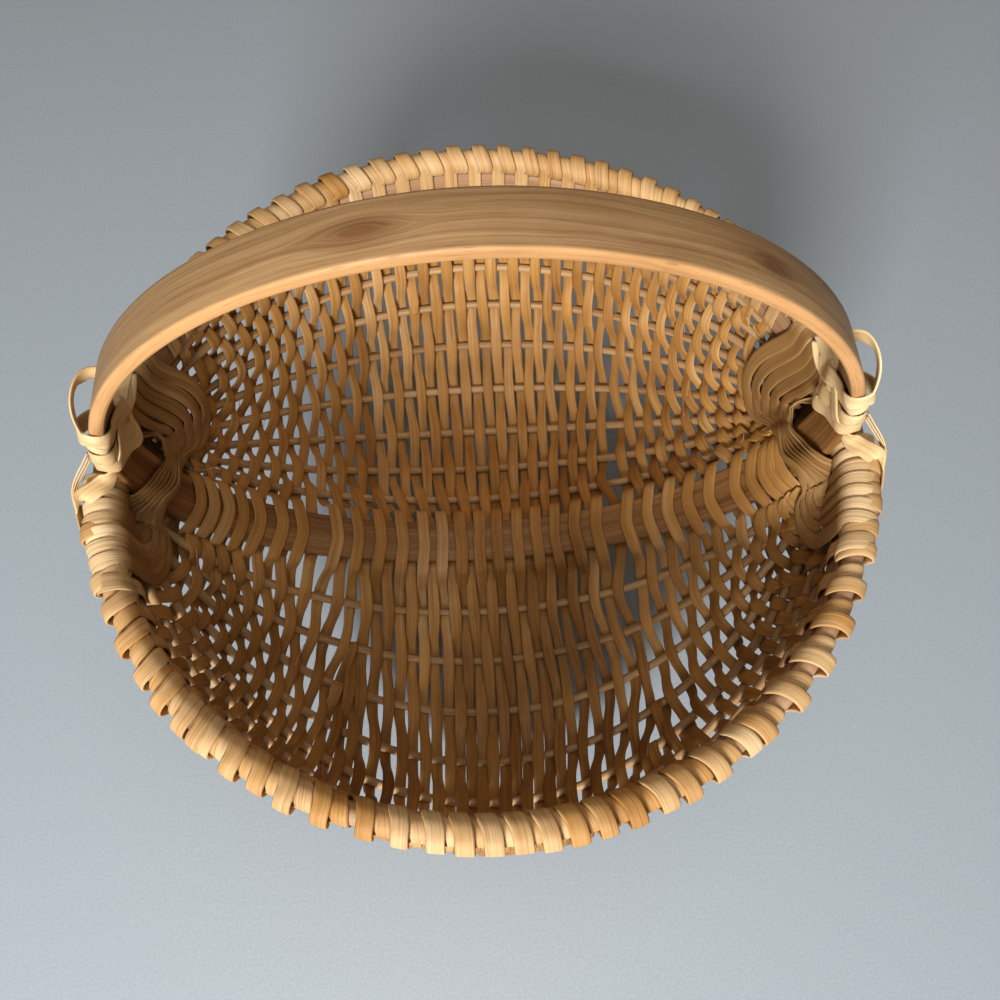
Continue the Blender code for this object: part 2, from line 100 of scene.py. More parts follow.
NEAR_ROWS = (
    (0, -0.02, -0.005, 0.005, 0.01), (2, 0.034, 0.034, 0.033, 0.03),
    (4, 0.064, 0.063, 0.062, 0.06), (8, 0.1375, 0.13, 0.125, 0.115),
    (13, 0.21, 0.208, 0.207, 0.207), (14, 0.225, 0.223, 0.224, 0.237),
    (16, 0.255, 0.252, 0.264, 0.286), (17, 0.325, 0.322, 0.31, 0.307),
    (20, 0.385, 0.378, 0.369, 0.362), (24, 0.446, 0.439, 0.437, 0.431),
    (30, 0.52, 0.52, 0.5255, 0.521), (35, 0.579, 0.589, 0.604, 0.599),
    (39, 0.632, 0.654, 0.68, 0.667), (41, 0.666, 0.69, 0.72, 0.706),
    (42, 0.757, 0.75, 0.742, 0.741), (44, 0.8, 0.795, 0.788, 0.782),
    (48, 0.885, 0.878, 0.87, 0.858), (52, 0.965, 0.945, 0.937, 0.942),
    (56, 1.016, 1.003, 0.996, 0.996), (62, 1.06, 1.048, 1.04, 1.035),
)
# The same on the spine's middle, where a bare window shows on each side of the filler
SPINE_ROWS = (
    (0, 0.0208), (4, 0.0725), (8, 0.1257), (10, 0.164), (12, 0.197), (13, 0.2255), (14, 0.2555),
    (22, 0.3985), (30, 0.52), (36, 0.616), (40, 0.685), (41, 0.711), (42, 0.737), (48, 0.843),
    (50, 0.88), (52, 0.928), (54, 0.957), (56, 0.98), (60, 1.015), (62, 1.03),
)
# Short rows fill the near wall where the rows beside them part: the row before, and the ribs, counted
# from the rim, at which the short rows turn back
SHORT_ROWS = ((16, (7, 8, 8, 7)), (41, (5, 6, 6, 5)))
# By how much the rows spread from the spine's middle to its edges
SPINE_SPREAD = 0.034

# In samples of a strand's course: a splint's shortest and longest, the shortest that may be left for
# the last one, the lap of each on the one before, and how far a row's painted light at the rim, which
# stands in for the lit rim top, goes and fades
SPLINT_SAMPLES = (1100, 2600)
LAST_SAMPLES = 500
LAP = 26
RIM_LIGHT_SAMPLES = 26
RIM_LIGHT_FADE = 14

# Stray fibres: their width, one for this many samples of a splint, and none above this height
FIBRE_WIDTH = 0.0004
FIBRE_SAMPLES = 180
FIBRE_TOP_Z = -0.018

# The ears: their loops, where the first lies on the way between the ears, the steps between loops on
# the far and the near arm, and the shares of the wall where a loop has a key
EAR_LOOPS = 7
EAR_TOP_WAY = 1.078
EAR_FAR_STEP = 0.0158
EAR_NEAR_STEP = 0.0148
EAR_WALL_SHARES = np.array([0.22, 0.45, 0.68, 0.9])
HALF_TURN = (0, 45, 90, 135, 180)
KEY_STEP = 0.0011

# A splint's section: flat below, a little crowned above, with worn corners
STRIP = np.array([
    (-0.5, 0.1), (-0.46, -0.32), (-0.36, -0.48), (0.0, -0.5), (0.36, -0.48), (0.46, -0.32),
    (0.5, 0.1), (0.42, 0.38), (0.24, 0.5), (0.0, 0.54), (-0.24, 0.5), (-0.42, 0.38),
])
UP = np.array([0.0, 0.0, 1.0])
WHITE = (1, 1, 1)

rng = np.random.default_rng(7)
fibre_rng = np.random.default_rng(21)


# Lines and directions


def stacked(*parts):
    """Points from their coordinates, each of them an array or one number."""
    return np.stack(np.broadcast_arrays(*parts), axis=-1)


def join(*stretches):
    """One line from several, each given as its points and the directions that it faces there."""
    return [np.concatenate(parts) for parts in zip(*stretches)]


def unit(vectors):
    return vectors / np.maximum(np.linalg.norm(vectors, axis=-1, keepdims=True), 1e-12)


def length_along(points):
    """How far along a line each of its points is."""
    return np.concatenate([[0.0], np.cumsum(np.linalg.norm(np.diff(points, axis=0), axis=1))])


def heading(path, closed=False):
    """The direction in which a line runs at each of its points."""
    if closed:
        return unit(np.roll(path, -1, 0) - np.roll(path, 1, 0))
    return unit(np.gradient(path, axis=0))


def smooth(values, rounds):
    """Evens out a row of numbers or points, apart from its ends."""
    values = np.array(values, float)
    for _ in range(rounds):
        values[1:-1] = 0.25 * values[:-2] + 0.5 * values[1:-1] + 0.25 * values[2:]
    return values


def bend_weights(t):
    """What a start, its slope, an end and its slope count for at these shares of the way between."""
    return 2 * t**3 - 3 * t**2 + 1, t**3 - 2 * t**2 + t, 3 * t**2 - 2 * t**3, t**3 - t**2


def wander(count, scale, size):
    """A slow random walk of this many samples, about this many samples a swing, within the size."""
    knots = max(4, int(count / scale) + 3)
    values = rng.uniform(-1, 1, knots)
    at = np.linspace(0, knots - 1.001, count)
    i = at.astype(int)
    f = at - i
    f = f * f * (3 - 2 * f)
    return (values[i] * (1 - f) + values[i + 1] * f) * size


# Shapes that the pieces follow


def section_curve():
    """A lobe's section from the rim down to the spine."""
    t = np.linspace(0.0, 1.0, 600)[:, None]
    a, b, c, d = (np.array(end) for end in SECTION_ENDS)
    return (1 - t) ** 3 * a + 3 * (1 - t) ** 2 * t * b + 3 * (1 - t) * t**2 * c + t**3 * d


SECTION = section_curve()
SECTION_LENGTH = length_along(SECTION)[-1]
SECTION_SHARE = length_along(SECTION) / SECTION_LENGTH


def angle_of(opening):
    """The angle from an ear at which the wall has this share of its full opening."""
    return math.asin(START_SINE + opening * (1 - START_SINE))


HALF_OPEN_Y = (EAR_Y + RIM_Y) / 2
RIM_REACH = RIM_X * math.sqrt(1 - (HALF_OPEN_Y / RIM_Y) ** 2) / math.cos(angle_of(0.5))
EAR_OPENING = (EAR_REACH - EAR_Y) / (RIM_Y - EAR_Y)
EAR_ANGLE = angle_of(EAR_OPENING)


def wall(side, share, angle):
    """Points of the surface that the ribs lie in, by their shares of the section and their angles round
    the hoop's axis, from the left ear to the right one."""
    y, z = (np.interp(share, SECTION_SHARE, column) for column in SECTION.T)
    opening = (np.sin(angle) - START_SINE) / (1 - START_SINE)
    reach = RIM_REACH + (HOOP_MID_X - RIM_REACH) * share
    return stacked(
        -reach * np.cos(angle), side * (EAR_Y + (y - EAR_Y) * opening), EAR_Z + (z - EAR_Z) * opening
    )


def wall_normal(side, share, angle):
    """The outward direction of that surface."""
    step = 0.004
    low, high = np.clip(share - step, 0, 1), np.clip(share + step, 0, 1)
    across = wall(side, high, angle) - wall(side, low, angle)
    along = wall(side, share, angle + step) - wall(side, share, angle - step)
    return unit(np.cross(along, across)) * side


def rim_at(side, angle):
    """The rod's middle at an angle round the rim from the left ear, and the outward direction there."""
    x, y = -np.cos(angle), side * np.sin(angle)
    return stacked(RIM_X * x, RIM_Y * y, 0.0), unit(stacked(x / RIM_X, y / RIM_Y, 0.0))


RIM_ANGLES = np.linspace(0, math.pi, 721)
RIM_ARC = length_along(rim_at(1, RIM_ANGLES)[0])
EAR_RIM_ARC = np.interp(math.asin(EAR_REACH / RIM_Y), RIM_ANGLES, RIM_ARC)


def arc_at(way):
    """How far round the rim a place on the way from ear to ear is."""
    return EAR_RIM_ARC + (RIM_ARC[-1] - 2 * EAR_RIM_ARC) * way


def beside_rod(side, arc, out, up):
    """A place this far round the rim from the left ear, this far out from the rod's middle and this
    high above it, and the outward direction there."""
    centre, outward = rim_at(side, np.interp(arc, RIM_ARC, RIM_ANGLES))
    return centre + outward * np.asarray(out)[..., None] + np.asarray(up)[..., None] * UP, outward


def round_rod(side, arc, reach, degrees):
    """Places this far from the rod's middle, turned up from its outer side, and the way they face."""
    cosine, sine = np.cos(np.radians(degrees)), np.sin(np.radians(degrees))
    places, outward = beside_rod(side, arc, reach * cosine, reach * sine)
    return places, outward * cosine[:, None] + UP * sine[:, None]


# Mesh building


def add_object(name, data):
    thing = bpy.data.objects.new(name, data)
    bpy.context.scene.collection.objects.link(thing)
    return thing


class Strands:
    """Collects swept strips and rods, and makes one mesh of them."""

    def __init__(self):
        self.points, self.faces, self.grain, self.tone = [], [], [], []
        self.count = 0

    def sweep(self, path, normals, width, thick, section, tone, seed, closed=False):
        """Sweeps a section, given in widths and thicknesses, along the path."""
        n, k = len(path), len(section)
        width, thick, tone = (np.broadcast_to(value, (n,)) for value in (width, thick, tone))
        tangent = heading(path, closed)
        normals = unit(normals - (normals * tangent).sum(-1, keepdims=True) * tangent)
        across = np.cross(tangent, normals)
        turns = (across[1:] * across[:-1]).sum(-1) < 0
        flip = np.concatenate([[1.0], np.where(np.cumsum(turns) % 2 == 1, -1.0, 1.0)])[:, None]
        normals, across = normals * flip, across * flip
        b = section[None, :, 0] * width[:, None]
        h = section[None, :, 1] * thick[:, None]
        points = path[:, None] + across[:, None] * b[..., None] + normals[:, None] * h[..., None]
        i = np.arange(n if closed else n - 1)[:, None]
        j = np.arange(k)[None, :]
        i2, j2 = (i + 1) % n, (j + 1) % k
        quads = stacked(i * k + j, i * k + j2, i2 * k + j2, i2 * k + j).reshape(-1, 4)
        self.faces.extend((quads + self.count).tolist())
        if not closed:
            self.faces.append([self.count + q for q in range(k - 1, -1, -1)])
            self.faces.append([self.count + (n - 1) * k + q for q in range(k)])
        self.points.append(points.reshape(-1, 3))
        self.grain.append(stacked(length_along(path)[:, None], b + h * 0.7, seed).reshape(-1, 3))
        self.tone.append(np.repeat(tone, k))
        self.count += n * k

    def build(self, name, material, node, sharp=None):
        """Makes the mesh, puts it on the one body, and lets it stand in for the node."""
        mesh = bpy.data.meshes.new(name)
        mesh.from_pydata((np.concatenate(self.points) + UP * RIM_Z).tolist(), [], self.faces)
        grain = mesh.attributes.new("grain", "FLOAT_VECTOR", "POINT")
        grain.data.foreach_set("vector", np.concatenate(self.grain).ravel())
        tone = mesh.attributes.new("tone", "FLOAT", "POINT")
        tone.data.foreach_set("value", np.concatenate(self.tone))
        mesh.shade_smooth()
        if sharp:
            mesh.set_sharp_from_angle(angle=math.radians(sharp))
        mesh.materials.append(material)
        piece = add_object(name, mesh)
        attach(piece, "root")
        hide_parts(node)


def round_section(sides):
    turn = np.arange(sides) * 2 * math.pi / sides
    return stacked(np.cos(turn), np.sin(turn)) * 0.5


def band_section(width, thick, corner):
    """A bent band's section with rounded corners, as shares of its width and thickness."""
    points = []
    for x_way, y_way, first in ((1, 1, 0), (-1, 1, 90), (-1, -1, 180), (1, -1, 270)):
        turn = np.radians(first + np.array([0, 30, 60, 90]))
        x = x_way * (width / 2 - corner) + corner * np.cos(turn)
        y = y_way * (thick / 2 - corner) + corner * np.sin(turn)
        points.append(stacked(x / width, y / thick))
    return np.concatenate(points)


# Where each row lies

FIRST_ANGLE = math.radians(11.4)
SHARES = np.linspace(0.0, 1.0, 41)
ANGLES = np.linspace(FIRST_ANGLE, math.pi - FIRST_ANGLE, 701)
MID_SHARE = 1 + EAR_Y / SECTION_LENGTH
RIB_SHARES = [number / (RIBS + 1) for number in range(1, RIBS + 1)]
RIB_HEIGHT = RIB_RADIUS + SPLINT_THICK / 2 + 0.0001
WALL_SAMPLES = 150
SPINE_SAMPLES = 13
SHORT_SAMPLES = 16


def way_table():
    """For each share, how far along the way each angle is, from 0 at the left ear to 1 at the right."""
    table = []
    for share in SHARES:
        arc = length_along(wall(1, share, ANGLES))
        first, last = np.interp([EAR_ANGLE, math.pi - EAR_ANGLE], ANGLES, arc)
        table.append((arc - first) / (last - first))
    return np.array(table)


WAY = way_table()


def through_knots(at, knots, values):
    """A smooth curve through the values at the knots."""
    knots, values = np.array(knots), np.array(values)
    slopes = np.gradient(values, knots)
    i = np.clip(np.searchsorted(knots, at, side="right") - 1, 0, len(knots) - 2)
    span = knots[i + 1] - knots[i]
    a, b, c, d = bend_weights((at - knots[i]) / span)
    return a * values[i] + b * span * slopes[i] + c * values[i + 1] + d * span * slopes[i + 1]


def row_knots(row, side):
    """The row's place on the way at each level of this side, and at the spine's edge and middle."""
    levels, table = (FAR_LEVELS, FAR_ROWS) if side > 0 else (NEAR_LEVELS, NEAR_ROWS)
    rows, *columns = zip(*table)
    places = [np.interp(row, rows, column) for column in columns]
    middle = np.interp(row, *zip(*SPINE_ROWS))
    return [*levels, 1.0, MID_SHARE], [*places, middle + SPINE_SPREAD * (middle - 0.5), middle]


def row_angles(row, side):
    """The angles at which the row crosses each share of the wall, and then each part of the spine."""
    knots, places = row_knots(row, side)
    beyond, other = row_knots(row, -side)
    knots = knots + [2 * MID_SHARE - knot for knot in beyond[-2:-4:-1]]
    places = places + other[-2:-4:-1]
    on_wall = through_knots(SHARES, knots, places)
    on_spine = through_knots(np.linspace(1.0, MID_SHARE, SPINE_SAMPLES), knots, places)
    wall_angles = [np.interp(place, way, ANGLES) for place, way in zip(on_wall, WAY)]
    return np.array(wall_angles), np.interp(on_spine, WAY[-1], ANGLES)


HALF_ROWS = [(row, side) for row in range(ROWS) for side in (-1, 1)]
ROW_ANGLES = {half: row_angles(*half) for half in HALF_ROWS}
ROW_RIM = {half: arc_at(row_knots(*half)[1][0]) for half in HALF_ROWS}


def add_short_rows():
    """Gives the short rows numbers past the long ones, and spreads them between their neighbours."""
    groups = []
    number = ROWS + 1
    for before, ribs in SHORT_ROWS:
        numbers = range(number, number + len(ribs))
        for i, row in enumerate(numbers, 1):
            part = i / (len(ribs) + 1)
            low, high = ROW_ANGLES[before, -1][0], ROW_ANGLES[before + 1, -1][0]
            ROW_ANGLES[row, -1] = (low + (high - low) * part, None)
            low, high = ROW_RIM[before, -1], ROW_RIM[before + 1, -1]
            ROW_RIM[row, -1] = low + (high - low) * part
        groups.append((numbers, ribs))
        number += len(ribs)
    return groups


SHORT_GROUPS = add_short_rows()


def rib_wave(row, length, stations):
    """How far inside the row is along its length, as a share of what its ribs ask, and its phase."""
    phase = np.interp(length, stations, np.arange(len(stations)) * math.pi)
    wave = np.cos(phase)
    sign = 1.0 if row % 2 == 1 else -1.0
    return sign * np.sign(wave) * np.abs(wave) ** 0.8, phase


def half_row(row, side):
    """One row from rib 1 to the spine's middle: positions, outward normals, how far to the inside it
    is, and its phase."""
    wall_angles, spine_angles = ROW_ANGLES[row, side]
    middle = np.interp(0.5, SHARES, wall_angles)
    # Beside an ear the row meets the long ribs alone
    from_ear = min(middle, math.pi - middle) - EAR_ANGLE
    ribs = RIB_SHARES if from_ear > (SHORT_RIB_START + 0.002) / HOOP_MID_X else RIB_SHARES[::2]
    shares = np.linspace(ribs[0], 1.0, WALL_SAMPLES)
    angles = np.interp(shares, SHARES, wall_angles)
    x, z = -np.cos(spine_angles[1:]), -np.sin(spine_angles[1:])
    y = side * np.linspace(EAR_Y, 0.0, SPINE_SAMPLES)[1:]
    on_wall = (wall(side, shares, angles), wall_normal(side, shares, angles))
    outward = unit(stacked(x / HOOP_MID_X, 0.0, z / SPINE_MID_Z))
    points, normals = join(on_wall, (stacked(HOOP_MID_X * x, y, SPINE_MID_Z * z), outward))
    for _ in range(6):
        normals[1:-1] = unit(normals[:-2] + 2 * normals[1:-1] + normals[2:])
    length = length_along(points)
    stations = np.interp(ribs, shares, length[:WALL_SAMPLES])
    edge = length[-1] - HOOP_BAND / 2 + 0.0015
    wave, phase = rib_wave(row, length, [*stations, edge])
    spine_height = HOOP_THICK / 2 + SPLINT_THICK / 2 + 0.0002
    height = np.interp(length, [stations[-1], edge], [RIB_HEIGHT, spine_height])
    return points, normals, wave * height, phase


def short_row(row, last):
    """The same for a short row of the near wall, which ends beside the rib that is counted last."""
    shares = np.linspace(1, last, SHORT_SAMPLES * (last - 1) + 1) / (RIBS + 1)
    angles = np.interp(shares, SHARES, ROW_ANGLES[row, -1][0])
    points = wall(-1, shares, angles)
    length = length_along(points)
    wave, phase = rib_wave(row, length, length[::SHORT_SAMPLES])
    return points, wall_normal(-1, shares, angles), wave * RIB_HEIGHT, phase


def turn_round_rib(row, last):
    """From the end of a short row round its last rib to the next short row's end."""
    share = last / (RIBS + 1)
    first, second = (np.interp(share, SHARES, ROW_ANGLES[r, -1][0]) for r in (row, row + 1))
    turn = np.linspace(0, math.pi, 11)[1:-1]
    start = 1.0 if (row + last) % 2 == 0 else -1.0
    shares = share + RIB_HEIGHT / SECTION_LENGTH * np.sin(turn)
    angles = first + (second - first) * turn / math.pi
    points, normals = wall(-1, shares, angles), wall_normal(-1, shares, angles)
    inward = np.cos(turn)[:, None] * start
    down = unit(wall(-1, shares + 0.004, angles) - points)
    facing = unit(normals * inward - down * np.sin(turn)[:, None])
    return points - normals * inward * RIB_HEIGHT, facing


# At these angles round the rod, how far along it a turn over the far rim lies. The near rim mirrors it.
TURN_DEGREES = (-180, -90, 0, 90, 180, 270, 360)
TURN_ALONG = (0.0, -0.0030, -0.0042, 0.0004, 0.0054, 0.0021, 0.0016)


def approach(row, side, rows, last=None):
    """Half a row from the rod down: on even rows inside the band and under its lower edge, or straight
    down outside it on odd ones, and then over the ribs. With the way that it faces and its width."""
    points, normals, inside, phase = short_row(row, last) if last else half_row(row, side)
    drift = np.cross(heading(points), normals) * wander(len(points), 26, 0.00045)[:, None]
    points = points - normals * inside[:, None] + drift
    hug = SPLINT_THICK / 2 + 0.00015
    slack = rng.uniform(0.0006, 0.0014) if side < 0 else rng.uniform(0.0, 0.0004)
    if row % 2 == 0:
        flat = BAND_INNER - hug
        out = (0.0018, BAND_INNER + 0.0012, flat, flat - slack, -ROD_RADIUS - hug)
        up = (-0.0197, -0.0178, -0.0148, -0.0085, -0.0012)
    else:
        out = (0.0009, BAND_OUTER + hug, BAND_OUTER + hug + 0.0002, 0.0036, 0.0052)
        up = (-0.0196, -0.0155, -0.0102, -0.0052, -0.0012)
    # An odd row's top lies beside its partner's wrap
    partner = row - side
    foot = top = ROW_RIM[row, side]
    if row % 2 == 1 and partner in rows:
        top = ROW_RIM[partner, side] + TURN_ALONG[-1] * side
    arc = foot + (top - foot) * np.array([0.0, 0.1, 0.3, 0.7, 1.0])
    knots, facing = join((points[:1], normals[:1]), beside_rod(side, arc, out, up))
    length = length_along(knots)
    at = np.linspace(0, length[-1], 24)[:0:-1]
    climb, facing = (
        stacked(*(np.interp(at, length, axis) for axis in line.T)) for line in (knots, facing)
    )
    path, facing = join((climb, unit(facing)), (points, normals))
    return path, facing, np.concatenate([np.ones(len(climb)), 1 - 0.12 * np.sin(phase) ** 2])


def turn_over_rim(side, even_arc):
    """One and a half wraps of the rod, from an even row inside the band to an odd row outside it."""
    degrees = np.linspace(180, -360, 64)
    along = smooth(np.interp(-degrees, TURN_DEGREES, TURN_ALONG) * side, 4)
    angle = np.radians(degrees)
    outer, under = np.clip(np.cos(angle), 0, 1), np.clip(-np.sin(angle), 0, 1)
    # The second layer lies on the first, and stands off the rod's outer side
    layer = np.clip((-degrees - 60) / 90, 0, 1)
    proud = rng.uniform(0.0002, 0.0016) if side < 0 else rng.uniform(0, 0.0005)
    radius = ROD_RADIUS + SPLINT_THICK * (0.62 + 0.95 * layer * (1 - under))
    radius += (0.0004 + (0.0005 + proud) * outer) * layer
    return round_rod(side, even_arc + along, radius, degrees)


def loose_end(row):
    """A run's end at the near rim: its wraps of the rod, and the tip that tucks in beside the band."""
    order = 1 if row % 2 == 0 else -1
    arc, along = ROW_RIM[row, -1], TURN_ALONG[-1]
    path, facing = turn_over_rim(-1, arc if order > 0 else arc + along)
    hug = SPLINT_THICK / 2 + 0.0002
    if order > 0:
        out = (0.0044, BAND_OUTER + hug + 0.0012, BAND_OUTER + hug + 0.001)
    else:
        out = (-ROD_RADIUS - hug, BAND_INNER - hug - 0.0009, BAND_INNER - hug - 0.0009)
    tip, outward = beside_rod(-1, np.full(3, arc - along * order), out, (-0.003, -0.007, -0.0105))
    path, facing = join((path[::order], facing[::order]), (tip, outward * order))
    return path[::-order], facing[::-order]


def painted_rim_light_share(samples):
    """How far a place this many samples from the rod gets its row's painted light at the rim."""
    return np.clip((RIM_LIGHT_SAMPLES - samples) / RIM_LIGHT_FADE, 0, 1)


def stray_fibre(strands, path, facing):
    """A thin fibre that has lifted off a splint's inner side, at a random place of its path."""
    at = int(fibre_rng.integers(10, len(path) - 10))
    if path[at, 2] > FIBRE_TOP_Z:
        return
    steps = np.linspace(0.0, 1.0, 9)[:, None]
    inward = -facing[at]
    along = unit(path[at + 4] - path[at]) * fibre_rng.choice((-1.0, 1.0))
    across = np.cross(along, inward) * fibre_rng.uniform(-0.006, 0.006)
    reach = fibre_rng.uniform(0.006, 0.016)
    lift = inward * fibre_rng.uniform(0.001, 0.005)
    points = path[at] + inward * SPLINT_THICK / 2 + along * reach * steps + (lift + across) * steps**2
    width = FIBRE_WIDTH * (1 - 0.6 * steps[:, 0])
    normals = np.tile(inward, (len(steps), 1))
    strands.sweep(points, normals, width, width, round_section(5), 0.8, fibre_rng.uniform(0, 50))


class Course:
    """The way of one long strand, put together stretch by stretch, and then cut into splints."""

    def __init__(self):
        self.parts = []

    def put(self, path, facing, tight=1.0, painted_rim_light=1.0):
        n = len(path)
        self.parts.append((path, facing, np.broadcast_to(tight, n), np.broadcast_to(painted_rim_light, n)))

    def lay(self, strands):
        """Sweeps splints of different lengths along the course, each lapped on the one before."""
        path, facing, tight, painted_rim_light = join(*self.parts)
        path = smooth(path, 3)
        start, total = 0, len(path)
        while start < total:
            end = min(total, start + int(rng.integers(*SPLINT_SAMPLES)))
            if total - end < LAST_SAMPLES:
                end = total
            cut = slice(max(start - LAP, 0), end)
            part, normal = path[cut].copy(), facing[cut]
            n = len(part)
            width = tight[cut] * (1 + rng.uniform(-0.05, 0.08) + wander(n, 90, 0.06)) * SPLINT_WIDTH
            thick = SPLINT_THICK * (1 + rng.uniform(-0.12, 0.12))
            if start > 0:
                rise = np.clip((LAP + 6 - np.arange(n)) / 6, 0, 1)[:, None]
                part -= normal * rise * SPLINT_THICK * 0.9
                width = width * np.clip(0.35 + np.arange(n) / 8, 0, 1)
            # Painted light: splints are lighter towards the rim and over its wraps, standing in for the
            # lit rim top
            tone = rng.normal(0.46, 0.09) + wander(n, 210, 0.2) + 0.34 * painted_rim_light[cut]
            # Painted shade: the near wall's splints are darkened below the rim, for the shade on that
            # wall's inner side
            tone = tone - 0.24 * np.clip((-part[:, 1] - 0.02) / 0.03, 0, 1) * (1 - painted_rim_light[cut])
            strands.sweep(part, normal, width, thick, STRIP, np.clip(tone, 0, 1.2), rng.uniform(0, 50))
            for _ in range(n // FIBRE_SAMPLES):
                stray_fibre(strands, part, normal)
            start = end


def weave_run(rows, strands):
    """A run of rows, woven back and forth with turns over the rim."""
    course = Course()
    course.put(*loose_end(rows[0]))
    for row in rows:
        order = 1 if row % 2 == 0 else -1
        down, up = (approach(row, side, rows) for side in (-order, order))
        path, facing, tight = join(down, [part[-2::-1] for part in up])
        samples = np.arange(len(path))
        course.put(path, facing, tight, painted_rim_light_share(np.minimum(samples, samples[::-1])))
        if row != rows[-1]:
            path, facing = turn_over_rim(order, ROW_RIM[row + row % 2, order])
            course.put(path[::order], facing[::order])
    course.put(*loose_end(rows[-1]))
    course.lay(strands)


def weave_short(rows, ribs, strands):
    """Short rows on the near wall, from the rim down to a rib and back, with turns at both ends."""
    course = Course()
    for row, last in zip(rows, ribs):
        path, facing, tight = approach(row, -1, rows, last)
        painted_rim_light = painted_rim_light_share(np.arange(len(path)))
        order = 1 if row % 2 == 0 else -1
        course.put(path[::order], facing[::order], tight[::order], painted_rim_light[::order])
        if row == rows[-1]:
            break
        if order > 0:
            course.put(*turn_round_rib(row, last), 0.9, 0.0)
        else:
            path, facing = turn_over_rim(-1, ROW_RIM[row + 1, -1])
            course.put(path[::-1], facing[::-1])
    course.lay(strands)


# Materials


class Nodes:
    """A short way to write a node tree."""

    def __init__(self, name):
        self.material = bpy.data.materials.new(name)
        self.material.use_nodes = True
        self.tree = self.material.node_tree
        self.shader = self.tree.nodes["Principled BSDF"]

    def put(self, node, key, value):
        if isinstance(value, bpy.types.NodeSocket):
            self.tree.links.new(value, node.inputs[key])
        else:
            node.inputs[key].default_value = value

    def add(self, kind, **inputs):
        node = self.tree.nodes.new(kind)
        for key, value in inputs.items():
            self.put(node, key, value)
        return node

    def math(self, operation, a, b=0.0, clamp=False):
        node = self.add("ShaderNodeMath")
        node.operation = operation
        node.use_clamp = clamp
        self.put(node, 0, a)
        self.put(node, 1, b)
        return node.outputs[0]

    def weighted(self, *terms):
        """The sum of some values, each times its weight."""
        total, *others = (self.math("MULTIPLY", value, weight) for value, weight in terms)
        for other in others:
            total = self.math("ADD", total, other)
        return total

    def ramp(self, value, *stops):
        node = self.add("ShaderNodeValToRGB", Fac=value)
        while len(node.color_ramp.elements) < len(stops):
            node.color_ramp.elements.new(0.5)
        for element, (position, colour) in zip(node.color_ramp.elements, stops):
            element.position = position
            element.color = (*colour, 1.0)
        return node.outputs["Color"]

    def mix(self, kind, factor, a, b):
        node = self.add("ShaderNodeMix")
        node.data_type = "RGBA"
        node.blend_type = kind
        self.put(node, 0, factor)
        self.put(node, 6, a)
        self.put(node, 7, b)
        return node.outputs[2]

    def shade(self, amount, colour, value, low, dark, high):
        """Darkens the colour by this much where the value is low, and not at all where it is high."""
        return self.mix("MULTIPLY", amount, colour, self.ramp(value, (low, dark), (high, WHITE)))

    def geometry(self, key):
        return self.add("ShaderNodeNewGeometry").outputs[key]

    def attribute(self, name, key):
        node = self.add("ShaderNodeAttribute")
        node.attribute_name = name
        return node.outputs[key]

    def split(self, vector):
        return self.add("ShaderNodeSeparateXYZ", Vector=vector).outputs

    def noise(self, place, scale, detail, roughness):
        inputs = {"Vector": place, "Scale": scale, "Detail": detail, "Roughness": roughness}
        return self.add("ShaderNodeTexNoise", **inputs).outputs["Fac"]

    def streaks(self, place, along, across, detail, roughness, scale=1.0):
        """Noise in the piece's own coordinates, stretched: metres along and across it, and its seed."""
        u, v, seed = place
        u, v = self.math("MULTIPLY", u, along), self.math("MULTIPLY", v, across)
        joined = self.add("ShaderNodeCombineXYZ", X=u, Y=v, Z=seed)
        return self.noise(joined.outputs[0], scale, detail, roughness)

    def surface(self, colour, rough, specular, height, strength, distance):
        """Finishes the material. Rough gives where it is rougher, and how rough it is at least."""
        where, least = rough
        roughness = self.math("ADD", self.math("MULTIPLY", where, 0.25), least)
        bump = self.add("ShaderNodeBump", Height=height, Strength=strength, Distance=distance)
        self.put(self.shader, "Base Color", colour)
        self.put(self.shader, "Roughness", roughness)
        self.put(self.shader, "Specular IOR Level", specular)
        self.put(self.shader, "Normal", bump.outputs[0])
        return self.material


def splint_material(name, dark, middle, light, fibre=1.0):
    """Flat splint: long fibres, a tone of its own for each splint, stains and a dull face."""
    n = Nodes(name)
    place = n.split(n.attribute("grain", "Vector"))
    fibres = n.streaks(place, 26, 1900, 4, 0.62)
    coarse = n.streaks(place, 9, 520, 3, 0.55)
    patches = n.streaks(place, 22, 60, 2, 0.5)
    value = n.weighted((n.attribute("tone", "Fac"), 0.55), (coarse, 0.42), (patches, 0.3))
    value = n.math("SUBTRACT", value, 0.13)
    colour = n.ramp(value, (0.12, dark), (0.5, middle), (0.88, light))
    stops = (0.3, (0.5, 0.42, 0.34)), (0.47, (0.93, 0.92, 0.9)), (0.7, (1.08, 1.07, 1.05))
    colour = n.mix("MULTIPLY", 0.8 * fibre, colour, n.ramp(fibres, *stops))
    stains = n.noise(n.geometry("Position"), 34, 3, 0.6)
    colour = n.shade(0.55, colour, stains, 0.33, (0.66, 0.55, 0.44), 0.55)
    return n.surface(
        colour, (fibres, 0.45), 0.32, n.weighted((fibres, 0.7), (coarse, 0.6)), 0.75, 0.00035
    )


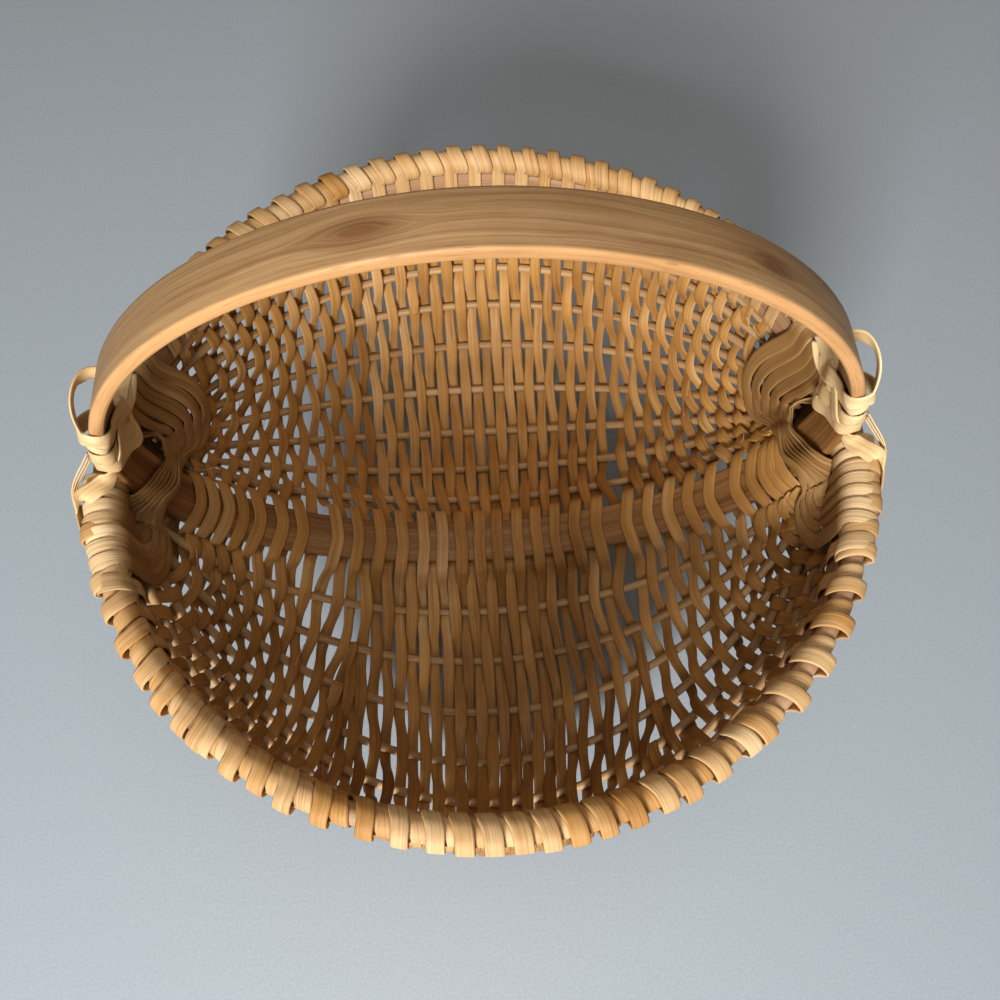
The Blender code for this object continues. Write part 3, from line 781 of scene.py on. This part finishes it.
def wood_material(name, dark, middle, light, streak_scale=1.0, knots=(), under=None, edge=None):
    """Bent wood: long grain, darker streaks, pores, knots where they are told, and painted light on the
    narrow sides.

    Where the piece's tone is low, the colours under take over. The colour edge is painted light on its
    narrow sides, standing in for the lit near edge.
    """
    n = Nodes(name)
    u, v, seed = n.split(n.attribute("grain", "Vector"))
    warp = n.streaks((u, v, seed), 14, 60, 3, 0.5)
    bend = n.math("MULTIPLY", n.math("SUBTRACT", warp, 0.5), 0.006)
    knot_mask = 0.0
    for knot_u, knot_v, size in knots:
        du = n.math("MULTIPLY", n.math("SUBTRACT", u, knot_u), 0.42)
        dv = n.math("SUBTRACT", v, knot_v)
        distance = n.math("SQRT", n.weighted((du, du), (dv, dv)))
        near = n.math("SUBTRACT", 1.0, n.math("DIVIDE", distance, size), clamp=True)
        push = n.math("MULTIPLY", n.math("MULTIPLY", near, near), size * 0.9)
        bend = n.math("SUBTRACT", bend, n.math("MULTIPLY", push, n.math("SIGN", dv)))
        knot_mask = n.math("MAXIMUM", knot_mask, near)
    place = (u, n.math("ADD", v, bend), seed)
    fine = n.streaks(place, 16, 2600 * streak_scale, 3, 0.6)
    grain = n.streaks(place, 6, 620 * streak_scale, 4, 0.6)
    broad = n.streaks(place, 7, 130 * streak_scale, 3, 0.55)
    pores = n.streaks(place, 120, 4200, 1, 0.5)
    smoke = n.streaks(place, 9, 75, 3, 0.6, scale=2)
    value = n.weighted((grain, 0.55), (broad, 0.5))
    colour = n.ramp(value, (0.3, dark), (0.5, middle), (0.7, light))
    # Painted light: the narrow sides take the brighter colour edge, standing in for the lit near edge
    if edge:
        narrow = n.math("ABSOLUTE", n.split(n.geometry("Normal"))[1])
        narrow = n.ramp(narrow, (0.35, (0, 0, 0)), (0.75, WHITE))
        painted_edge_light = n.shade(0.5, (*edge, 1.0), value, 0.3, (0.55, 0.5, 0.45), 0.6)
        colour = n.mix("MIX", n.math("MULTIPLY", narrow, 0.85), colour, painted_edge_light)
    if under:
        lower = n.ramp(value, *zip((0.34, 0.5, 0.68), under))
        colour = n.mix("MIX", n.attribute("tone", "Fac"), lower, colour)
    colour = n.shade(0.45, colour, smoke, 0.36, (0.6, 0.52, 0.46), 0.56)
    colour = n.shade(0.5, colour, fine, 0.3, (0.66, 0.6, 0.54), 0.55)
    colour = n.shade(0.5, colour, pores, 0.28, (0.45, 0.36, 0.28), 0.36)
    if knots:
        dark_knot = n.ramp(knot_mask, (0.35, WHITE), (0.8, (0.5, 0.36, 0.26)))
        colour = n.mix("MULTIPLY", 0.8, colour, dark_knot)
    return n.surface(colour, (grain, 0.38), 0.35, n.weighted((fine, 0.5), (grain, 0.8)), 0.5, 0.0003)


# The pieces

HOOP_SAMPLES = 420
RIM_SAMPLES = 400
RIB_SAMPLES = 150
# With 2 the handle would be half an ellipse, and with less it is less full
HANDLE_FULLNESS = 1.93


def make_hoop():
    handle_wood = wood_material(
        "handle_wood",
        (0.19, 0.1, 0.042), (0.37, 0.22, 0.1), (0.5, 0.33, 0.165),
        knots=((0.157, 0.002, 0.009), (0.264, 0.001, 0.006)),
        under=((0.07, 0.027, 0.007), (0.215, 0.09, 0.025), (0.36, 0.19, 0.065)),
        # The colour of the painted light on the narrow sides
        edge=(0.62, 0.335, 0.135),
    )
    turn = np.linspace(0, 2 * math.pi, HOOP_SAMPLES, endpoint=False)
    s, c = np.sin(turn), np.cos(turn)
    power = np.where(s >= 0, 2 / HANDLE_FULLNESS, 1.0)
    x = -HOOP_MID_X * np.sign(c) * np.abs(c) ** power
    z = np.where(s >= 0, HANDLE_MID_Z, SPINE_MID_Z) * np.sign(s) * np.abs(s) ** power
    path = stacked(x, 0.0, z)
    tangent = heading(path, closed=True)
    normals = stacked(-tangent[:, 2], 0.0, tangent[:, 0])
    width = HOOP_BAND * (1 + 0.012 * np.sin(3 * turn))
    # The hoop is coloured darker beside the ears than on the handle and in the middle of the spine
    tone = np.maximum(np.clip((z - 0.015) / 0.03, 0, 1), 0.2 * np.clip((-0.04 - z) / 0.03, 0, 1))
    strands = Strands()
    section = band_section(HOOP_BAND, HOOP_THICK, 0.0013)
    strands.sweep(path, normals, width, HOOP_THICK, section, tone, 3.0, closed=True)
    strands.build("bent_hoop", handle_wood, "handle_hoop", sharp=50)


def make_rim():
    rim_wood = wood_material(
        "rim_wood", (0.2, 0.1, 0.05), (0.38, 0.22, 0.12), (0.52, 0.34, 0.2), streak_scale=1.2
    )
    rod, outward = rim_at(1, np.linspace(0, 2 * math.pi, RIM_SAMPLES, endpoint=False))
    height, thick = BAND_TOP - BAND_BOTTOM, BAND_OUTER - BAND_INNER
    band = rod + outward * ((BAND_OUTER + BAND_INNER) / 2) + UP * ((BAND_TOP + BAND_BOTTOM) / 2)
    for word, path, width, thick, section, seed, sharp in (
        ("band", band, height, thick, band_section(height, thick, 0.0007), 11.0, 50),
        ("rod", rod, 2 * ROD_RADIUS, 2 * ROD_RADIUS, round_section(14), 17.0, None),
    ):
        strands = Strands()
        strands.sweep(path, outward, width, thick, section, 0.5, seed, closed=True)
        strands.build(f"bent_rim_{word}", rim_wood, f"rim_{word}", sharp)


def make_ribs():
    rib_wood = wood_material(
        "rib_wood", (0.24, 0.12, 0.05), (0.43, 0.26, 0.12), (0.57, 0.38, 0.2), streak_scale=1.6
    )
    # Even ribs start past the ears, and odd ones within them
    starts = (EAR_ANGLE + SHORT_RIB_START / HOOP_MID_X, angle_of(EAR_OPENING * 0.35))
    for lobe, side in (("near", -1), ("far", 1)):
        for number, share in enumerate(RIB_SHARES, 1):
            start = starts[number % 2]
            angles = np.linspace(start, math.pi - start, RIB_SAMPLES)
            path = wall(side, share, angles)
            length = length_along(path)
            from_tip = np.minimum(length, length[-1] - length)
            size = 2 * RIB_RADIUS * np.interp(from_tip, [0, 0.004, 0.016], [0.5, 0.75, 1.0])
            size = size * (1 + wander(len(path), 30, 0.03))
            normals = wall_normal(side, share, angles)
            tone = rng.uniform(0.3, 0.7)
            strands = Strands()
            strands.sweep(path, normals, size, size, round_section(12), tone, rng.uniform(0, 50))
            strands.build(f"round_rib_{lobe}_{number}", rib_wood, f"rib_{lobe}_{number}")


def make_weave():
    splint = splint_material(
        "woven_splint", (0.2, 0.08, 0.016), (0.47, 0.242, 0.068), (0.73, 0.53, 0.3)
    )
    filler_end = LEFT_ROWS + FILLER_ROWS
    for word, rows, short_groups in (
        ("left", range(LEFT_ROWS), ()),
        ("filler", range(LEFT_ROWS, filler_end), SHORT_GROUPS),
        ("right", range(filler_end, ROWS), ()),
    ):
        strands = Strands()
        weave_run(rows, strands)
        for short_rows, ribs in short_groups:
            weave_short(short_rows, ribs, strands)
        strands.build(f"weave_{word}", splint, f"weaving_{word}")


# The ears and their lashings


def arm(y, out, up):
    """Places beside the rim's right arm, this far out from the rod's middle and above it."""
    x = RIM_X * np.sqrt(1 - (y / RIM_Y) ** 2)
    outward = unit(stacked(x / RIM_X**2, y / RIM_Y**2, 0.0))
    return stacked(x, y, up) + outward * out[:, None], outward


def on_hoop(y, z, out):
    """Places on the right side of the hoop at these heights, this far out from its middle line."""
    half_z = np.where(z > 0, HANDLE_MID_Z, SPINE_MID_Z)
    sine = z / half_z
    cosine = np.sqrt(1 - sine**2)
    outward = unit(stacked(cosine / HOOP_MID_X, 0.0, sine / half_z))
    return stacked(HOOP_MID_X * cosine, y, z) + outward * np.asarray(out)[..., None], outward


def through(stretches, rounds, mirror):
    """A smooth line through the keys of the stretches, sampled evenly, with normals that turn with it.
    The keys are those of the right side."""
    keys, normals = join(*stretches)
    ends = np.concatenate([2 * keys[:1] - keys[1:2], keys, 2 * keys[-1:] - keys[-2:-1]])
    parts = []
    for i in range(len(keys) - 1):
        p0, p1, p2, p3 = ends[i : i + 4]
        length = np.linalg.norm(p2 - p1)
        count = max(2, int(length / KEY_STEP))
        t = (np.arange(count) / count)[:, None]
        slope1 = (p2 - p0) * length / (np.linalg.norm(p1 - p0) + length)
        slope2 = (p3 - p1) * length / (length + np.linalg.norm(p3 - p2))
        a, b, c, d = bend_weights(t)
        line = a * p1 + b * slope1 + c * p2 + d * slope2
        parts.append((line, normals[i] * (1 - t) + normals[i + 1] * t))
    path, facing = join(*parts, (keys[-1:], normals[-1:]))
    return smooth(path, rounds) * mirror, unit(facing) * mirror


def ear_loop(loop, jitter):
    """One loop of an ear: over the far arm, inside to the spine, over the near arm and back outside."""
    t = SPLINT_THICK
    far = EAR_TOP_WAY - EAR_FAR_STEP * loop + jitter[0]
    near = EAR_TOP_WAY - EAR_NEAR_STEP * loop + jitter[1]

    def over_arm(side, way, layer, turn):
        reach = ROD_RADIUS + t / 2 + 0.0006 + layer
        return round_rod(side, arc_at(way), reach, turn)

    def beside_band(side, way, inside, layer, order):
        out = BAND_INNER - t - 0.0006 - layer if inside else BAND_OUTER + t + 0.001 + layer
        up = np.array([-0.0075] if inside else [-0.0085, -0.0155])[::order]
        places, outward = beside_rod(side, arc_at(way), out, up)
        return places, np.broadcast_to(-outward if inside else outward, places.shape)

    def along_wall(side, way, end_z, height, order, belly=0.0, puff=0.0):
        share = EAR_WALL_SHARES[::order]
        start = np.interp(way, WAY[0], ANGLES)
        end = math.pi - math.asin(-end_z / SPINE_MID_Z)
        angle = start + (end - start) * share**1.4 - belly * np.sin(math.pi * share**0.8)
        height = height * (1 + puff * np.sin(math.pi * share**0.6))[:, None]
        normals = wall_normal(side, share, angle)
        return wall(side, share, angle) + normals * height, normals * np.sign(height)

    def over_spine(places, lift, sign):
        y, z = np.array(places).T
        places, outward = on_hoop(y, z, sign * (HOOP_THICK / 2 + t / 2 + lift))
        return places, outward * sign

    height = RIB_RADIUS + 1.5 * t + 0.0003
    far_z, near_z = -0.024 - 0.0007 * loop, -0.01 - 0.0018 * loop
    outer_z = -0.0235 - 0.0023 * loop
    inner = ((0.01, far_z), (0, near_z - 0.0075 + jitter[2]), (-0.01, near_z))
    outer = ((-0.01, outer_z), (0, outer_z - 0.0008), (0.01, outer_z - 0.0012))
    return join(
        over_arm(1, far, 0.0, HALF_TURN),
        beside_band(1, far, True, 0.0, 1),
        along_wall(1, far, far_z, -height, 1, -0.012 + 0.013 * loop, 1.2),
        over_spine(inner, 0.0006 + 0.00038 * loop, -1),
        along_wall(-1, near, near_z, -height, -1, puff=0.5),
        beside_band(-1, near, True, 0.0008, -1),
        over_arm(-1, near, 0.0012, HALF_TURN[::-1]),
        beside_band(-1, near, False, 0.0012, 1),
        along_wall(-1, near, outer_z, height, 1),
        over_spine(outer, 0.0007, 1),
        along_wall(1, far - EAR_FAR_STEP * 0.8, outer_z - 0.0014, height, -1),
        beside_band(1, far - EAR_FAR_STEP * 0.9, False, 0.0, -1),
    )


def make_ear(word, mirror, material):
    strands = Strands()
    loops = [ear_loop(loop, rng.uniform(-0.0003, 0.0003, 3)) for loop in range(EAR_LOOPS)]
    last = arc_at(EAR_TOP_WAY - EAR_FAR_STEP * (EAR_LOOPS - 0.05))
    reach = ROD_RADIUS + SPLINT_THICK / 2 + 0.0005
    path, normals = through([*loops, round_rod(1, last, reach, HALF_TURN)], 2, mirror)
    n = len(path)
    y, z = path[:, 1], path[:, 2]
    on_spine = np.clip(1.3 - np.abs(y) / 0.014, 0, 1)
    lean = np.radians(8.0 + 17.0 * on_spine)[:, None]
    # The hoop's side of each loop lies on the loop before it
    across = unit(np.cross(heading(path), normals))
    toward = stacked(0.0, -np.sign(y), np.where(np.abs(y) < 0.011, 3.0, 0.0))
    sign = smooth(np.sign((across * toward).sum(-1)), 6)[:, None]
    normals = unit(normals * np.cos(lean) - across * (np.sin(lean) * sign))
    width = SPLINT_WIDTH * (1.14 + wander(n, 60, 0.05) - 0.4 * on_spine)
    lit = np.clip((z + 0.006) / 0.008, 0, 1) * np.where(y < 0, 1.0, 0.25)
    tone = np.clip(0.4 + 0.62 * lit + wander(n, 120, 0.2), 0, 1.2)
    strands.sweep(path, normals, width, SPLINT_THICK, STRIP, tone, rng.uniform(0, 50))
    # A last broad wrap on the near arm, whose end tucks in under the rod
    turn = np.array([-150, -90, -30, 0, 45, 90, 135, 180, 215])
    arc = arc_at(EAR_TOP_WAY - EAR_NEAR_STEP * (EAR_LOOPS + 0.1)) - 0.0022 * turn / 90
    path, normals = through([round_rod(-1, arc, reach + 0.0013, turn)], 0, mirror)
    strands.sweep(path, normals, SPLINT_WIDTH * 1.15, SPLINT_THICK, STRIP, 0.8, rng.uniform(0, 50))
    strands.build(f"wound_ear_{word}", material, f"ear_{word}")


def make_lashing(word, mirror, material):
    """The straps that cross the handle's foot, and the slack strands beside them. Their keys and widths
    are in millimetres."""
    strands = Strands()
    face = 500 * (HOOP_THICK + SPLINT_THICK) + 0.3
    edge = 500 * (HOOP_BAND + SPLINT_THICK) + 0.3

    def on_foot(*rows):
        """Keys on the handle's foot: y, height, place out, and how far each faces sideways and out."""
        y, z, out, sideways, share = np.array(rows).T
        places, outward = on_hoop(y / 1000, z / 1000, out / 1000)
        return places, outward * share[:, None] + stacked(0.0, sideways, 0.0)

    def on_arm(*rows):
        """Keys on an arm of the rim: y, place out, height, and how far each faces up."""
        y, out, up, lift = np.array(rows).T
        places, outward = arm(y / 1000, out / 1000, up / 1000)
        return places, UP * lift[:, None] - outward * (1 - lift)[:, None]

    def put(stretches, width, tone, thick=SPLINT_THICK, rounds=2):
        path, normals = through(stretches, rounds, mirror)
        n = len(path)
        tones = np.clip(tone + wander(n, 40, 0.12), 0, 1.3)
        width = width / 1000 * (1 + wander(n, 30, 0.06))
        strands.sweep(path, normals, width, thick, STRIP, tones, rng.uniform(0, 50))

    # The broad strap: from the far arm over the inner face, round the near edge, and slack outside
    start = on_arm((33, -0.5, 5.2, 1), (24, -2, 5.8, 0.9), (16, -4.5, 8.5, 0.5))
    strap = on_foot(
        (9.8, 14, -face - 0.8, 0.3, -0.9), (3, 18.5, -face, 0, -1),
        (-3.5, 23, -face, 0, -1), (-8, 26.2, -face, -0.3, -1), (-edge, 29, 0, -1, 0),
        (-7.5, 32, face + 1, -0.3, 1), (-1, 37.5, face + 4, 0, 1),
        (6, 40, face + 3, 0.2, 1), (edge, 38, 0.4, 1, 0), (7, 34, -face - 0.2, 0.1, -1),
    )
    put((start, strap), 7.4, 0.98)
    # Three straps beside it, which come back outside and end at the far arm
    route = (
        (9.8, 5, -face - 1, 0.3, -0.9), (3, 10, -face - 0.2, 0, -1),
        (-3.5, 14.5, -face - 0.2, 0, -1), (-8.2, 17.5, -face - 0.2, -0.3, -1),
        (-edge - 0.3, 19.5, 0, -1, 0), (-7.5, 17.5, face + 0.8, -0.3, 1),
        (0, 10, face + 3, 0, 1), (8, 2, face + 1, 0.2, 1), (9.8, -4, face, 0.2, 1),
    )
    for shift, reach, over, width, tone in (
        (0, 0, 0, 6.2, 0.88), (12.5, 6, 0.6, 7, 0.96), (-6.2, -4, 0.4, 5.6, 0.84)
    ):
        start = on_arm((25 + reach, -2.5, 5, 1), (18 + reach / 2, -5.2, 5, 0.4))
        strap = on_foot(*((y, z + shift, out + over * to, side, to) for y, z, out, side, to in route))
        put((start, strap), width, tone)
    # The last, from the inner face down over the near arm's first wraps
    start = on_foot(
        (6, 19, -face - 1, 0, -1), (1, 16.5, -face - 1.2, 0, -1),
        (-5, 12, -face - 1.2, 0, -1),
    )
    end = on_arm(
        (-11.8, -4.8, 6.4, 0.3), (-15, -1.5, 7.6, 0.8), (-17.5, 4, 6.4, 0.4),
        (-18.5, 7.8, 1, -0.2), (-19, 6.2, -6.2, -0.6), (-18.5, 3, -9.5, -0.9),
    )
    put((start, end), 6.6, 0.92)
    # Slack strands that run down outside the near arm
    for offset, width, drop in ((0, 2.4, 0), (2.2, 1.7, 3.5), (-1.8, 1.3, -2.5)):
        start = on_foot((-7, 15 + offset, face + 2, 0, 1))
        end = arm(*np.transpose((
            (-14, 6.8, 5.6 + offset * 0.5), (-22, 7.1 + drop * 0.2, 1.2 - drop),
            (-30, 6.8 + drop * 0.2, -2.4 - drop), (-37, 5.6, -6.2 - drop * 0.5), (-40, 3.2, -9.5),
        )) / 1000)
        put((start, end), width, 0.8, SPLINT_THICK * 0.6, 4)
    strands.build(f"strap_{word}", material, f"cross_lashing_{word}")


def make_ears():
    splint = splint_material(
        "ear_splint", (0.16, 0.074, 0.02), (0.32, 0.176, 0.06), (0.92, 0.7, 0.42), fibre=0.9
    )
    pale = splint_material(
        "lashing_splint", (0.42, 0.24, 0.1), (0.66, 0.44, 0.2), (0.86, 0.66, 0.38), fibre=0.7
    )
    for word, mirror in (("left", (-1, 1, 1)), ("right", (1, 1, 1))):
        make_ear(word, mirror, splint)
        make_lashing(word, mirror, pale)


# The setting


def make_floor():
    bpy.ops.mesh.primitive_plane_add(size=6.0)
    floor = bpy.context.object
    floor.name = "floor"
    n = Nodes("floor_paint")
    speckle = n.noise(n.geometry("Position"), 900, 2, 0.5)
    paint = n.ramp(speckle, (0.3, (0.31, 0.365, 0.425)), (0.7, (0.365, 0.42, 0.48)))
    n.put(n.shader, "Base Color", paint)
    n.put(n.shader, "Roughness", 0.6)
    floor.data.materials.append(n.material)


def make_light():
    world = bpy.data.worlds.new("soft_room")
    bpy.context.scene.world = world
    world.use_nodes = True
    background = world.node_tree.nodes["Background"]
    background.inputs["Color"].default_value = (1.0, 0.78, 0.55, 1.0)
    background.inputs["Strength"].default_value = 0.12
    for name, place, size, power, colour in (
        ("window", (-0.35, -1.25, 0.8), 0.45, 36.0, (1.0, 0.97, 0.92)),
        ("ceiling", (0.1, -0.2, 1.9), 1.6, 12.0, (1.0, 0.96, 0.9)),
    ):
        data = bpy.data.lights.new(name, "AREA")
        data.size = size
        data.energy = power
        data.color = colour
        light = add_object(name, data)
        light.location = place
        direction = Vector((0, 0, 0.1)) - Vector(place)
        light.rotation_euler = direction.to_track_quat("-Z", "Y").to_euler()


def make_camera():
    yaw, pitch, roll = 0.0749, 1.1751, 0.015
    data = bpy.data.cameras.new("camera")
    data.sensor_width = 36.0
    data.lens = 0.82008 * data.sensor_width
    data.clip_start = 0.01
    camera = add_object("camera", data)
    turn = Matrix.Rotation(-yaw, 4, "Z") @ Matrix.Rotation(math.pi / 2 - pitch, 4, "X")
    turn = turn @ Matrix.Rotation(roll, 4, "Z")
    camera.matrix_world = Matrix.Translation((-0.0034, -0.1318, 0.2593 + RIM_Z)) @ turn
    bpy.context.scene.camera = camera
    bpy.context.scene.view_settings.view_transform = "Standard"


make_camera()
make_light()
make_floor()
make_hoop()
make_rim()
make_ribs()
make_weave()
make_ears()

bpy.context.view_layer.update()
